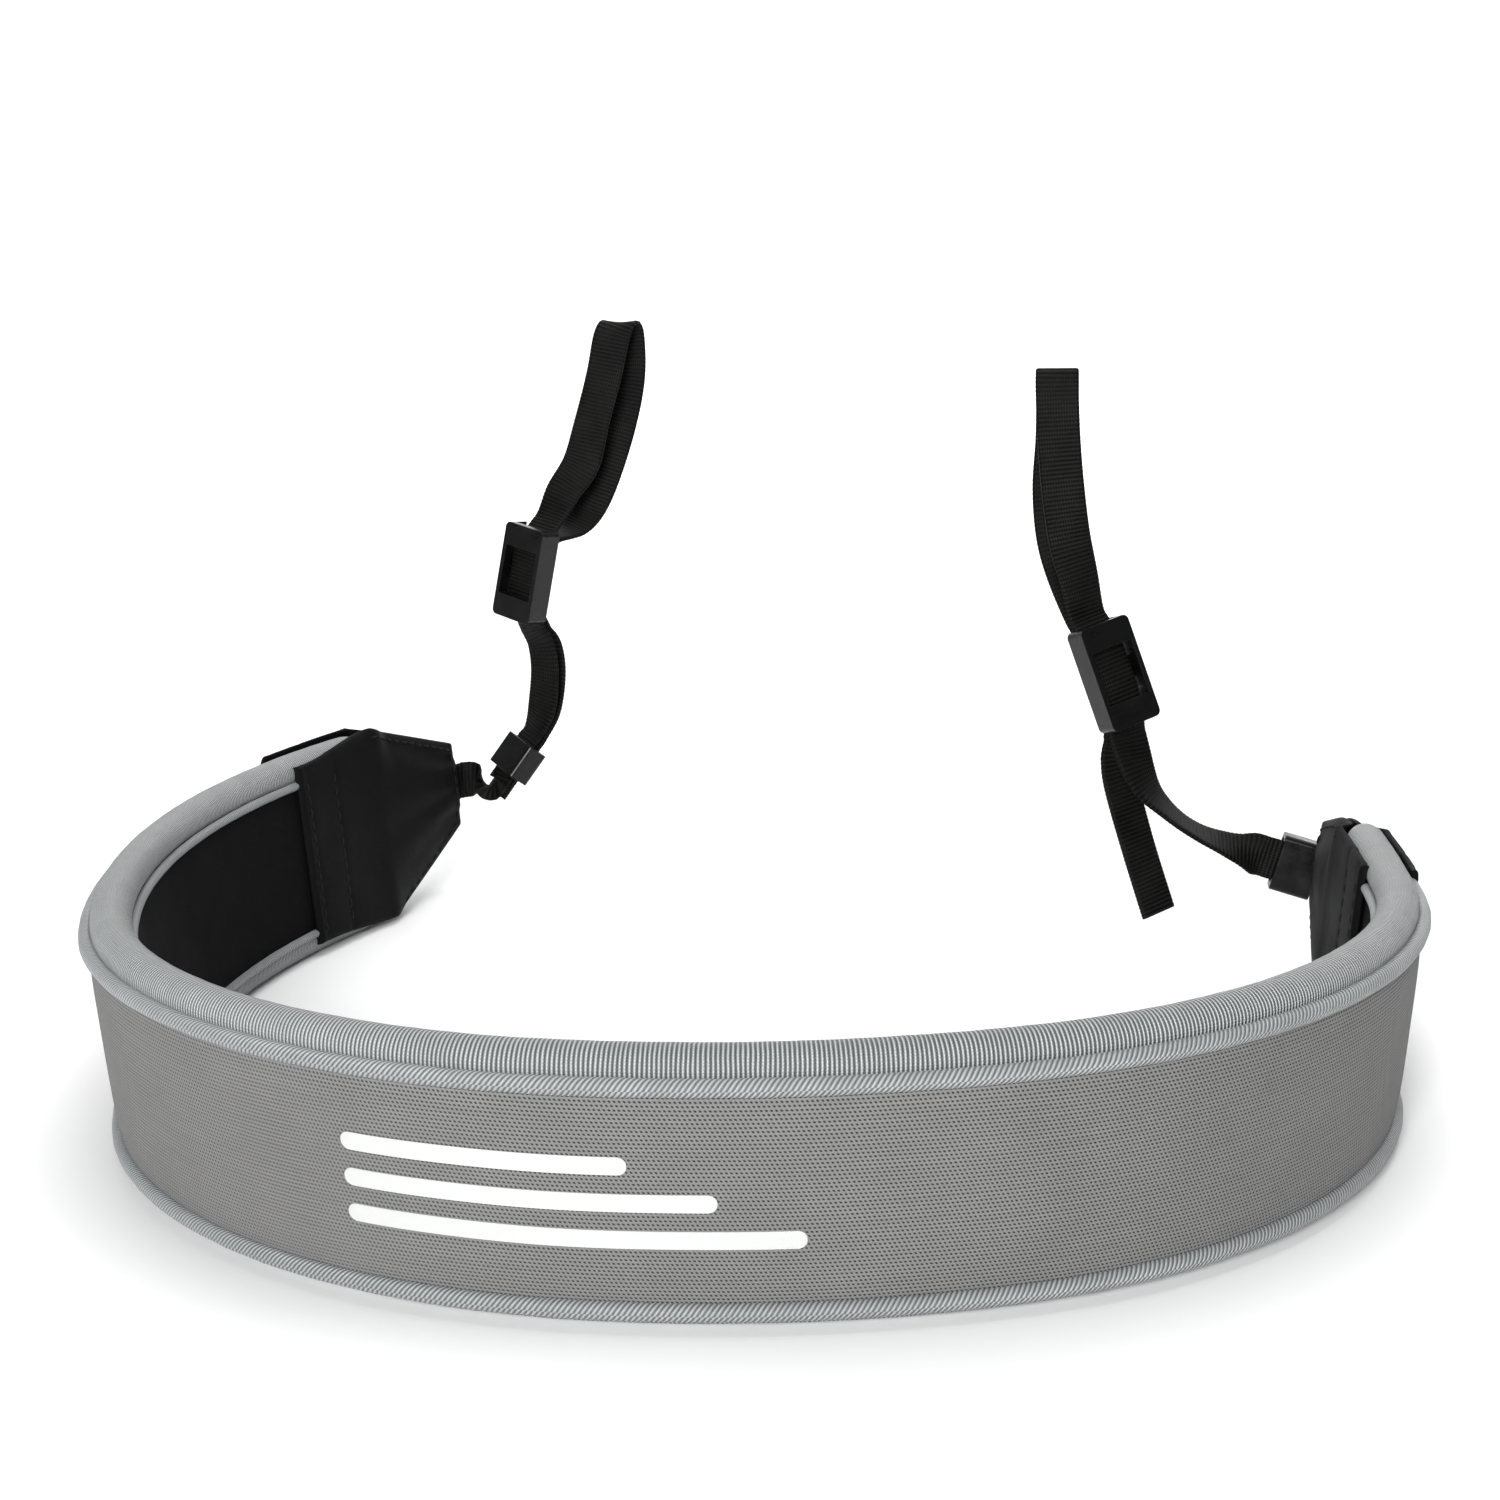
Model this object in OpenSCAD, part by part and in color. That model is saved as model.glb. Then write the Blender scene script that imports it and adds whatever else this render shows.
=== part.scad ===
// Padded neck strap for binoculars.
// A foam band bent into a horseshoe stands on its lower edge. A black tab closes each end,
// and a narrow webbing strap rises from each tab to a loop for the binocular's lug.
// +Z is up. The origin is on the floor under the middle of the band, where the band runs
// along X, and the band's two wings reach towards +Y.

/* [Band] */
// Height of the band along its face
band_h = 50; // [46:0.5:54]
// Thickness of the band between its outer and inner faces
band_t = 8.8; // [8.4:0.1:9.6]
// Thickness of the knit face and of the grip face
skin_t = 0.8; // [0.6:0.1:1]
// Outward lean of the band, in degrees
lean = 5.5; // [4:0.5:7]
// Radius of the left bend
left_bend_r = 114; // [108:1:120]
// Angle of the left bend
left_bend_deg = 67; // [63:1:70]
// Radius of the left wing
left_wing_r = 220; // [190:5:260]
// Angle of the left wing
left_wing_deg = 43; // [41:1:46]
// Radius of the shallow stretch right of the middle
right_front_r = 170; // [150:5:190]
// Angle of the shallow stretch
right_front_deg = 26; // [23:1:29]
// Radius of the right bend
right_bend_r = 110; // [104:1:116]
// Angle of the right bend
right_bend_deg = 68; // [64:1:71]
// Radius of the right wing
right_wing_r = 620; // [540:10:700]
// Angle of the right wing
right_wing_deg = 4; // [3:0.5:6]

/* [Edges] */
// Radius of the padded roll along the top and bottom edges
roll_r = 4; // [3.8:0.1:4.2]
// Shift of the rolls towards the inner face
roll_shift = 0.6; // [0.4:0.1:0.8]
// Thickness of the ribbed binding round a roll
binding_t = 0.8; // [0.6:0.1:1]
// Radius of the piping outside the rolls
outer_pipe_r = 1.6; // [1.4:0.1:1.8]
// Radius of the piping inside the rolls
inner_pipe_r = 1; // [0.8:0.1:1.2]

/* [Tabs] */
// Length of the band that the tabs cover
tab_cover = 34; // [30:1:38]
// Length of a tab beyond the band
tab_len = 37; // [34:1:40]
// Thickness of a tab patch
patch_t = 1.6; // [1.2:0.1:1.8]
// Height of the narrow end of a tab
tab_end_h = 22; // [18:1:26]
// Height of the middle of the narrow end above the floor
tab_end_z = 29; // [26:1:31]
// Distance between stitches
stitch_pitch = 3.2; // [2.8:0.1:4]

/* [Webbing] */
// Width of the webbing
web_w = 10; // [9:0.5:10.5]
// Thickness of the webbing
web_t = 1.2; // [1:0.1:1.3]

/* [Hardware] */
// Length of a slider along the webbing
slider_l = 25; // [23:0.5:26]
// Length of a keeper along the webbing
keeper_l = 9.5; // [8:0.5:10]
// Width of the sliders and keepers
hardware_w = 13.5; // [13:0.1:14.5]

/* [Hidden] */
$fn = 64;
LEFT = -1;
RIGHT = 1;

knit_grey = [0.42, 0.42, 0.41];
silver_grey = [0.66, 0.68, 0.68];
soft_black = [0.06, 0.06, 0.06];
foam_grey = [0.25, 0.25, 0.26];

low_z = roll_r;
high_z = band_h - roll_r;
face_u = band_t / 2;
core_u = face_u - skin_t;
roll_back_u = roll_r + roll_shift;
band_stop = 2.5;

outer_pipe_u = face_u - 0.1;
inner_pipe_u = face_u;
top_outer_pipe_z = high_z - 1.5;
top_inner_pipe_z = high_z - 3.2;
bottom_outer_pipe_z = low_z + 0.3;
bottom_inner_pipe_z = low_z + 1.6;

patch_low_z = 1;
patch_high_z = band_h + 1;
tab_foot = 7;
tab_closed_u = web_t / 2 + 0.05;
tab_lap = 2;
stub_out = 2;
stub_in = 22;

slot_w = web_w + 1;
slot_t = 2 * web_t + 1;
strand_gap = 0.4;
strand_off = (web_t + strand_gap) / 2;
plate_t = 1.5;
keeper_t = slot_t + 2 * plate_t;
slider_front_t = 2.2;
slider_back_t = 1;
slider_t = slot_t + slider_front_t + slider_back_t;

// Arcs of the band, from its middle outwards: [radius, angle]
left_arcs = [[left_bend_r, left_bend_deg], [left_wing_r, left_wing_deg]];
right_arcs = [
    [right_front_r, right_front_deg], [right_bend_r, right_bend_deg], [right_wing_r, right_wing_deg]
];
function arcs_of(side) = side == LEFT ? left_arcs : right_arcs;

// The same arcs with the last one cut short by a length
function cut_arcs(arcs, cut) = [
    for (i = [0 : len(arcs) - 1])
        i < len(arcs) - 1 ? arcs[i] : [arcs[i][0], arcs[i][1] - cut / arcs[i][0] * 180 / PI]
];

// Point and heading where arc i starts, as [x, y, heading]
function arc_start(arcs, i) = i == 0 ? [0, 0, 0] :
    let (p = arc_start(arcs, i - 1), r = arcs[i - 1][0], h = p.z + arcs[i - 1][1])
    [p.x + r * (sin(h) - sin(p.z)), p.y + r * (cos(p.z) - cos(h)), h];

function unit(v) = v / norm(v);

// Angles for rotate() that turn Z along t and X towards w
function facing(t, w) =
    let (z = unit(t), x = unit(w - z * (w * z)), y = cross(z, x))
    [atan2(y.z, z.z), -asin(x.z), atan2(x.y, x.x)];

module on_side(side) {
    if (side == LEFT) mirror([1, 0, 0]) children();
    else children();
}

// Each arc of the band starts this far along, so neighbouring arcs stay separate solids
arc_gap = 0.02;

// Sweeps a section along one arc: X of the section points outwards, Y points up
module sweep_arc(start, r, from_deg, to_deg) {
    translate([start.x - r * sin(start.z), start.y + r * cos(start.z), 0])
        rotate(start.z - 90 + from_deg)
            rotate_extrude(angle = to_deg - from_deg) translate([r, 0]) children();
}

module sweep_side(side, cut) {
    arcs = cut_arcs(arcs_of(side), cut);
    on_side(side)
        for (i = [0 : len(arcs) - 1])
            sweep_arc(arc_start(arcs, i), arcs[i][0], arc_gap / arcs[i][0] * 180 / PI, arcs[i][1])
                children();
}

module sweep_band(cut) {
    sweep_side(LEFT, cut) children();
    sweep_side(RIGHT, cut) children();
}

// Sweeps a section along the stretch of a wing that lies between two distances from its end
module sweep_wing_end(side, far, near) {
    arcs = arcs_of(side);
    last = len(arcs) - 1;
    r = arcs[last][0];
    on_side(side)
        sweep_arc(arc_start(arcs, last), r, arcs[last][1] - far / r * 180 / PI,
            arcs[last][1] - near / r * 180 / PI) children();
}

// Places a shape at the end of a wing: X leads on past the end, Y points outwards
module wing_end(side) {
    arcs = arcs_of(side);
    e = arc_start(arcs, len(arcs));
    on_side(side)
        translate([e.x, e.y, 0]) rotate(e.z) mirror([0, 1, 0])
            translate([0, 0, low_z]) rotate([-lean, 0, 0]) translate([0, 0, -low_z]) children();
}

module leaning() {
    translate([0, low_z]) rotate(-lean) translate([0, -low_z]) children();
}

module roll_disc(z, r) {
    translate([-roll_shift, z]) circle(r);
}

module rolls() {
    roll_disc(low_z, roll_r);
    roll_disc(high_z, roll_r);
}

module pipes() {
    translate([outer_pipe_u, top_outer_pipe_z]) circle(outer_pipe_r);
    translate([outer_pipe_u, bottom_outer_pipe_z]) circle(outer_pipe_r);
    translate([-inner_pipe_u, top_inner_pipe_z]) circle(inner_pipe_r);
    translate([-inner_pipe_u, bottom_inner_pipe_z]) circle(inner_pipe_r);
}

module layer(from_u, to_u, from_z, to_z) {
    leaning() difference() {
        translate([from_u, from_z]) square([to_u - from_u, to_z - from_z]);
        rolls();
        pipes();
    }
}

module band_foam() {
    color(foam_grey) sweep_band(band_stop) leaning() difference() {
        translate([-core_u, 1.5 * roll_r]) square([2 * core_u, band_h - 3 * roll_r]);
        rolls();
    }
}

module outer_knit_face() {
    color(knit_grey) sweep_band(band_stop)
        layer(core_u, face_u, bottom_outer_pipe_z, top_outer_pipe_z);
}

module inner_grip_face() {
    color(soft_black) sweep_band(band_stop)
        layer(-face_u, -core_u, bottom_inner_pipe_z, top_inner_pipe_z);
}

module roll_foam(z) {
    color(foam_grey) sweep_band(band_stop) leaning() roll_disc(z, roll_r - binding_t);
}

module roll_binding(z) {
    color(silver_grey) sweep_band(band_stop) leaning() difference() {
        roll_disc(z, roll_r);
        roll_disc(z, roll_r - binding_t);
    }
}

module top_roll_foam() { roll_foam(high_z); }
module top_roll_binding() { roll_binding(high_z); }
module bottom_roll_foam() { roll_foam(low_z); }
module bottom_roll_binding() { roll_binding(low_z); }

module piping(u, z, r) {
    color(silver_grey) sweep_band(tab_cover) leaning() translate([u, z]) circle(r);
}

module top_outer_piping() { piping(outer_pipe_u, top_outer_pipe_z, outer_pipe_r); }
module top_inner_piping() { piping(-inner_pipe_u, top_inner_pipe_z, inner_pipe_r); }
module bottom_outer_piping() { piping(outer_pipe_u, bottom_outer_pipe_z, outer_pipe_r); }
module bottom_inner_piping() { piping(-inner_pipe_u, bottom_inner_pipe_z, inner_pipe_r); }

// Printed bars on the knit face: [reach left of the middle, reach right of it, low edge]
print_t = 0.2;
print_bar_h = 3.2;
print_bars = [[36, 40, 16], [36, 26, 22.6], [36, 12, 29.2]];
module front_print() {
    color("white")
        for (bar = print_bars, side = [LEFT, RIGHT]) {
            r = arcs_of(side)[0][0];
            reach = side == LEFT ? bar[0] : bar[1];
            on_side(side) sweep_arc([0, 0, 0], r, 0, reach / r * 180 / PI)
                leaning() translate([face_u, bar[2]]) square([print_t, print_bar_h]);
        }
}

// Outline of a tab seen square to its face
module tab_side_outline() {
    polygon([
        [-tab_lap, patch_low_z], [tab_foot, patch_low_z],
        [tab_len, tab_end_z - tab_end_h / 2], [tab_len, tab_end_z + tab_end_h / 2],
        [0, patch_high_z], [-tab_lap, patch_high_z]
    ]);
}

// A patch from above: it runs past the band, then slants in to close on the webbing
module tab_tail(near_u) {
    intersection() {
        linear_extrude(2 * band_h) polygon([
            [-tab_lap, near_u], [0, near_u], [tab_len, tab_closed_u],
            [tab_len, tab_closed_u + patch_t], [0, near_u + patch_t], [-tab_lap, near_u + patch_t]
        ]);
        translate([0, 2 * band_t, 0]) rotate([90, 0, 0])
            linear_extrude(4 * band_t) tab_side_outline();
    }
}

module tab_outer_patch(side) {
    color(soft_black) {
        sweep_wing_end(side, tab_cover, 0) leaning()
            translate([face_u, patch_low_z]) square([patch_t, patch_high_z - patch_low_z]);
        wing_end(side) tab_tail(face_u);
    }
}

module tab_inner_patch(side) {
    color(soft_black) {
        sweep_wing_end(side, tab_cover, 0) leaning()
            translate([-roll_back_u - patch_t, patch_low_z])
                square([patch_t, patch_high_z - patch_low_z]);
        wing_end(side) mirror([0, 1, 0]) tab_tail(roll_back_u);
    }
}

module left_tab_outer_patch() { tab_outer_patch(LEFT); }
module left_tab_inner_patch() { tab_inner_patch(LEFT); }
module right_tab_outer_patch() { tab_outer_patch(RIGHT); }
module right_tab_inner_patch() { tab_inner_patch(RIGHT); }

// Upright rows of stitches near the seam edge of both patches
stitch_r = 0.3;
stitch_l = 2.4;
stitch_rows = [tab_cover - 3, tab_cover - 15];
module tab_stitching(side) {
    arcs = arcs_of(side);
    last = len(arcs) - 1;
    start = arc_start(arcs, last);
    r = arcs[last][0];
    count = floor((band_h - 8) / stitch_pitch);
    color([0.12, 0.12, 0.12])
        for (back = stitch_rows, u = [face_u + patch_t + stitch_r, -roll_back_u - patch_t - stitch_r])
            on_side(side)
                translate([start.x - r * sin(start.z), start.y + r * cos(start.z), 0])
                    rotate(start.z - 90 + arcs[last][1] - back / r * 180 / PI)
                        translate([r, 0, low_z]) rotate([0, lean, 0]) translate([u, 0, 1])
                            for (i = [0 : count - 1])
                                translate([0, 0, i * stitch_pitch]) cylinder(r = stitch_r, h = stitch_l);
}

module left_tab_stitching() { tab_stitching(LEFT); }
module right_tab_stitching() { tab_stitching(RIGHT); }

module tab_webbing(side) {
    color(soft_black) wing_end(side)
        translate([tab_len - stub_in, -web_t / 2, tab_end_z - web_w / 2])
            cube([stub_in + stub_out, web_t, web_w]);
}

module left_tab_webbing() { tab_webbing(LEFT); }
module right_tab_webbing() { tab_webbing(RIGHT); }

// Smooth value at fraction t between b and c of four stations
function blend4(a, b, c, d, t) =
    0.5 * (2 * b + (c - a) * t + (2 * a - 5 * b + 4 * c - d) * t * t
        + (3 * b - a - 3 * c + d) * t * t * t);

// Smooth list through one column of a route's stations
function smooth(route, col, steps) = [
    for (k = [0 : len(route) - 2], j = [0 : steps - 1])
        blend4(route[max(k - 1, 0)][col], route[k][col], route[k + 1][col],
            route[min(k + 2, len(route) - 1)][col], j / steps),
    route[len(route) - 1][col]
];

// Flat webbing along a route of stations [point, direction across the webbing]
web_steps = 4;
module ribbon(route) {
    p = smooth(route, 0, web_steps);
    w = smooth(route, 1, web_steps);
    n = len(p);
    rings = [
        for (i = [0 : n - 1])
            let (
                t = unit(p[min(i + 1, n - 1)] - p[max(i - 1, 0)]),
                across = unit(w[i] - t * (w[i] * t)) * web_w / 2,
                thick = unit(cross(t, across)) * web_t / 2
            )
            each [p[i] - across - thick, p[i] + across - thick,
                p[i] + across + thick, p[i] - across + thick]
    ];
    sides = [
        for (i = [0 : n - 2], k = [0 : 3])
            let (a = 4 * i + k, b = 4 * i + (k + 1) % 4)
            each [[a, a + 4, b], [b, a + 4, b + 4]]
    ];
    last = 4 * (n - 1);
    ends = [[0, 1, 2], [0, 2, 3], [last, last + 2, last + 1], [last, last + 3, last + 2]];
    color(soft_black) polyhedron(points = rings, faces = concat(sides, ends));
}

// Both straps are laid out from the middle of their tab's narrow end
function tab_point(side) =
    let (e = arc_start(arcs_of(side), len(arcs_of(side))), up = tab_end_z - low_z)
    [side * (e.x + tab_len * cos(e.z) + up * sin(lean) * sin(e.z)),
        e.y + tab_len * sin(e.z) - up * sin(lean) * cos(e.z), low_z + up * cos(lean)];

// Station just past the end of the stub that is sewn into a tab
function tab_exit(side, out) =
    let (h = arc_start(arcs_of(side), len(arcs_of(side))).z)
    [[side * cos(h), sin(h), 0] * (stub_out + out), [0, 0, 1]];

// Left strap: where its keeper and slider sit, which way they run and which way they lie across
left_keeper_at = [17.1, 4.3, 6.4];
left_keeper_dir = [5.3, 2.7, 7.7];
left_keeper_across = [6.5, -7.5, -1.8];
left_slider_at = [22.9, -0.5, 57.6];
left_slider_dir = [2, 0, 9.8];
left_slider_across = [8.6, -4.8, -1.4];

// Right strap
right_keeper_at = [-5.8, 10.9, -2.6];
right_keeper_dir = [-9.6, -0.4, 2.8];
right_keeper_across = [2.8, 0.5, 9.6];
right_slider_at = [-49.1, 6.8, 43.2];
right_slider_dir = [-3.4, 0.6, 9.4];
right_slider_across = [7.75, 5.88, 2.28];

// Station on the webbing's way through a keeper or slider: out along it, off to one strand
function station(at, dir, across, out, off) =
    [at + unit(dir) * out + unit(cross(dir, across)) * off, across];

function left_k(out, off) =
    station(left_keeper_at, left_keeper_dir, left_keeper_across, out, off);
function left_s(out, off) =
    station(left_slider_at, left_slider_dir, left_slider_across, out, off);
function right_k(out) =
    station(right_keeper_at, right_keeper_dir, right_keeper_across, out, 0);
function right_s(out, off) =
    station(right_slider_at, right_slider_dir, right_slider_across, out, off);

// In a slider each strand runs over the middle bar and bows back behind the end bars
body_gap = 0.5;
keeper_run = [-8.5, -5.8, 0, 5.8, 8.5];
left_route = concat(
    [tab_exit(LEFT, body_gap), tab_exit(LEFT, body_gap + 2)],
    [[[5, 5.5, -0.3], [1, -1, 9]], [[8.6, 3.6, -2.8], [4, -6, 5]]],
    [for (out = keeper_run) left_k(out, -strand_off)],
    [[[23.9, 5.9, 20.5], [8.6, -5, -1.6]], [[25.2, 5, 30], [8.6, -4.8, -1.4]]],
    [[[24.6, 4.7, 37.2], [8.6, -4.8, -1.4]], left_s(-15.5, 5.6), left_s(-12.5, 3.4), left_s(-9, 0.6)],
    [left_s(-5, -strand_off), left_s(5, -strand_off)],
    [left_s(9, 0.6), left_s(12.5, 3.4), left_s(15.5, 5.6), [[31.2, 6.2, 78.5], [8.8, -4, -1.4]]],
    [[[35, 9.3, 85.5], [9, -2, -1]], [[38.4, 12, 96], [9, -1, 0]]],
    [[[41.4, 14.5, 108.2], [3, -0.3, 0]], [[43.4, 16, 118.1], [1, 0, 0]]],
    [[[45, 18.7, 121.2], [1, 0, 0]], [[46, 21.5, 118.6], [1, 0, 0]]],
    [[[46.1, 22.3, 108.9], [3, -0.3, 0]], [[44.4, 21.5, 97.9], [9, -1, 0]]],
    [[[41.6, 18.6, 85], [9, -2, -1]], [[37.6, 14.4, 73.6], [9, -3, -1]], [[33, 9.8, 68], [8.8, -4, -1]]],
    [left_s(9.5, 5.2), left_s(7.5, 2.4), left_s(5, strand_off), left_s(-5, strand_off)],
    [left_s(-9, 2.4), left_s(-12.5, 5.6), left_s(-15.5, 8.2), [[25.9, 7.4, 37.2], [8.6, -4.8, -1.4]]],
    [[[26.4, 8, 29.5], [8.6, -4.8, -1.4]], [[24.6, 8.6, 19.6], [8.6, -5, -1.6]]],
    [for (out = [8.5, 5.8, 0, -5.8, -8.5, -11]) left_k(out, strand_off)]
);

right_route = concat(
    [tab_exit(RIGHT, body_gap), tab_exit(RIGHT, body_gap + 2)],
    [[[1, 7.1, -0.5], [0, 0, 1]], [[3.6, 9.9, -3.2], [1, 0, 9]]],
    [for (out = keeper_run) right_k(out)],
    [[[-18.6, 9.3, 1.2], [1.2, 8.3, 5.4]], [[-23.5, 8, 3.3], [0.8, 9.6, 2.6]]],
    [[[-28.2, 7, 5.6], [0.8, 9.9, 1.2]], [[-32.4, 6.2, 8.4], [1, 10, 0.8]]],
    [[[-36.4, 5.4, 12], [2.4, 9.6, 0.6]], [[-40.2, 5.2, 16.2], [4.5, 8.6, 1.2]]],
    [[[-43, 5.8, 21.6], [6.6, 7.2, 2]], right_s(-15.5, 2.6), right_s(-12.5, 1.4), right_s(-9, 0)],
    [right_s(-5, -strand_off), right_s(5, -strand_off), right_s(9, 0.2)],
    [right_s(12.5, 1.4), right_s(15.5, 2.2), [[-57.1, 8.6, 65], [8, 4.6, 2.4]]],
    [[[-59.4, 7.2, 75], [9.2, 2, 2]], [[-60.9, 6.4, 86], [9.6, 0.6, 1]]],
    [[[-62, 6.9, 97.5], [9.9, 0, 1]], [[-62.6, 8.1, 108.5], [1, 0, 0]]],
    [[[-62.8, 10.8, 113.4], [1, 0, 0]], [[-62.9, 13.6, 108.5], [1, 0, 0]]],
    [[[-63, 14, 97.5], [1, 0, 0]], [[-63.6, 13.6, 86], [9.8, 0, 1]]],
    [[[-62.6, 12.6, 75], [9.4, 1, 1.6]], [[-60, 12.6, 65], [8.4, 4, 2]]],
    [right_s(15.5, 4.2), right_s(12.5, 3.2), right_s(9, 1.9)],
    [for (out = [5, 0, -5]) right_s(out, strand_off)]
);

right_tail_route = concat(
    [right_s(-5 - body_gap, strand_off), right_s(-8, 1.3), right_s(-10.5, 2.7)],
    [right_s(-13, 4.4), right_s(-15.5, 6), [[-47.6, 10.9, 22.3], [7.8, 5.9, 2.3]]],
    [[[-46.7, 10.8, 15.5], [7.4, 6.4, 2.2]], [[-42.6, 9.6, 1.2], [7, 6.9, 2.2]]],
    [[[-37.5, 8.4, -14.5], [7, 6.9, 2.4]]]
);

module left_webbing() { translate(tab_point(LEFT)) ribbon(left_route); }
module right_webbing() { translate(tab_point(RIGHT)) ribbon(right_route); }
module right_webbing_tail() { translate(tab_point(RIGHT)) ribbon(right_tail_route); }

// Rectangle with round corners, centred
module round_rect(w, h, r) {
    square([w - 2 * r, h], center = true);
    square([w, h - 2 * r], center = true);
    for (x = [-1, 1], y = [-1, 1])
        translate([x * (w / 2 - r), y * (h / 2 - r)]) circle(r);
}

module placed(at, dir, across) {
    translate(at) rotate(facing(dir, across)) children();
}

// Keeper: a short sleeve with both strands through its slot
keeper_round = 1.2;
module keeper() {
    color([0.08, 0.08, 0.08]) translate([0, 0, -keeper_l / 2]) linear_extrude(keeper_l)
        difference() {
            round_rect(hardware_w, keeper_t, keeper_round);
            square([slot_w, slot_t], center = true);
        }
}

// Slider: two end bars pass in front of the webbing and one middle bar passes behind it
end_bar_l = 6;
middle_bar_l = 5.5;
slider_round = 1.5;
module slider() {
    window_l = slider_l - 2 * end_bar_l;
    opening_l = (slider_l - middle_bar_l) / 2;
    color([0.08, 0.08, 0.08]) difference() {
        translate([0, slot_t / 2 + slider_back_t, 0]) rotate([90, 0, 0])
            linear_extrude(slider_t) round_rect(hardware_w, slider_l, slider_round);
        cube([slot_w, slot_t, 2 * slider_l], center = true);
        translate([0, -slider_t / 2, 0]) cube([slot_w, slider_t, window_l], center = true);
        for (end = [-1, 1])
            translate([0, slider_t / 2, end * slider_l / 2])
                cube([slot_w, slider_t, 2 * opening_l], center = true);
    }
}

module left_keeper() {
    translate(tab_point(LEFT))
        placed(left_keeper_at, left_keeper_dir, left_keeper_across) keeper();
}

module left_slider() {
    translate(tab_point(LEFT))
        placed(left_slider_at, left_slider_dir, left_slider_across) slider();
}

module right_keeper() {
    translate(tab_point(RIGHT))
        placed(right_keeper_at, right_keeper_dir, right_keeper_across) keeper();
}

module right_slider() {
    translate(tab_point(RIGHT))
        placed(right_slider_at, right_slider_dir, right_slider_across) slider();
}

band_foam();
outer_knit_face();
inner_grip_face();
top_roll_foam();
top_roll_binding();
bottom_roll_foam();
bottom_roll_binding();
top_outer_piping();
top_inner_piping();
bottom_outer_piping();
bottom_inner_piping();
front_print();
left_tab_outer_patch();
left_tab_inner_patch();
left_tab_stitching();
left_tab_webbing();
right_tab_outer_patch();
right_tab_inner_patch();
right_tab_stitching();
right_tab_webbing();
left_webbing();
left_keeper();
left_slider();
right_webbing();
right_keeper();
right_slider();
right_webbing_tail();
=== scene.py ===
"""Looks of a padded binocular neck strap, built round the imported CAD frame.

The band stands on its lower edge in a horseshoe. The object's sizes are in millimetres and
mesh() turns them into metres; the floor, lights and camera are in metres from the start. A
place on the band is (s, u, z): s runs along its centre line from the middle (left is
negative), u points outwards and z up the leaning face.
"""

import math

import bmesh
import bpy
import numpy as np
from mathutils import Matrix, Vector


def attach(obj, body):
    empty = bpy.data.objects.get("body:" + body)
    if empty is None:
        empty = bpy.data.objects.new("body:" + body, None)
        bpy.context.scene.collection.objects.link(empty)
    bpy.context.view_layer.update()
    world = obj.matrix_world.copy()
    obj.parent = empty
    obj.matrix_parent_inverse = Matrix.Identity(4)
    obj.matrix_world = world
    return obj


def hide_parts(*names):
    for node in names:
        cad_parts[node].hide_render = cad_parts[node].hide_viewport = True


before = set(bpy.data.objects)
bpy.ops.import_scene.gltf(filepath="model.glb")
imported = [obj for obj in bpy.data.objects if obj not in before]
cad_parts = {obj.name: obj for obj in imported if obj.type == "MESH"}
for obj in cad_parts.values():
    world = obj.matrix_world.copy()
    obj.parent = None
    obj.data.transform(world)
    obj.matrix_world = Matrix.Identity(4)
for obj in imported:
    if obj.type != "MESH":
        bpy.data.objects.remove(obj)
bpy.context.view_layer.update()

MM = 0.001
LEFT, RIGHT = -1, 1
SIDES = {"left": LEFT, "right": RIGHT}

# Band
BAND_H = 50.0
FACE_U = 4.4
LEAN = math.radians(5.5)
# From the middle outwards: (radius, degrees) of each arc of the centre line
ARCS = {
    LEFT: [(114.0, 67.0), (220.0, 43.0)],
    RIGHT: [(170.0, 26.0), (110.0, 68.0), (620.0, 4.0)],
}
BAND_STOP = 2.5

# Edges
ROLL_R = 4.0
ROLL_U = -0.6
LOW_Z = ROLL_R
HIGH_Z = BAND_H - ROLL_R
OUTER_PIPE_R = 1.6
OUTER_PIPE_U = FACE_U - 0.1
INNER_PIPE_R = 1.0
EDGE_STEP = 1.5
ROLL_SIDES = 40
PIPE_SIDES = 20
# (length, phase) of the waves by which a cord's radius varies
ROLL_WAVES = [(47, 0.4), (19, 1.9), (7.3, 4.0)]
PIPE_WAVES = [(31, 0.3), (11, 2.0)]

# Tabs
TAB_COVER = 34.0
TAB_LEN = 37.0
TAB_FOOT = 7.0
TAB_LOW_Z = 1.0
TAB_HIGH_Z = BAND_H + 1.0
TAB_END_Z = 29.0
TAB_END_H = 22.0
PATCH_T = 1.6
PATCH_RIM = 1.1
# How much of the top roll a patch leaves bare (side, face), and the t over which that fades out
BARE = {(LEFT, 1): 0.5, (LEFT, -1): 3.4, (RIGHT, 1): 3.4, (RIGHT, -1): 3.4}
BARE_FADE = {LEFT: (-30.0, 2.0), RIGHT: (-3.0, 21.0)}
LOW_BARE_SHARE = 0.5
SEWN_U = 0.1
STITCH_ROWS = (TAB_COVER - 3, TAB_COVER - 15)
STITCH_PITCH = 3.2
BORDER_INSET = 2.2

# Webbing and hardware
WEB_W = 10.0
WEB_T = 1.2
STUB_OUT = 2.0
STUB_IN = 22.0
STRAND_OFF = 0.8
BODY_GAP = 0.5
WEB_RIB = 1.0
# Shares by which the webbing is thinner and narrower between its ribs
RIB_DEPTH = 0.16
RIB_EDGE = 0.012
CURVE_STEPS = 24
UPRIGHT = np.array([0.0, 0.0, 1.0])


# ---------------------------------------------------------------- meshes

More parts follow.
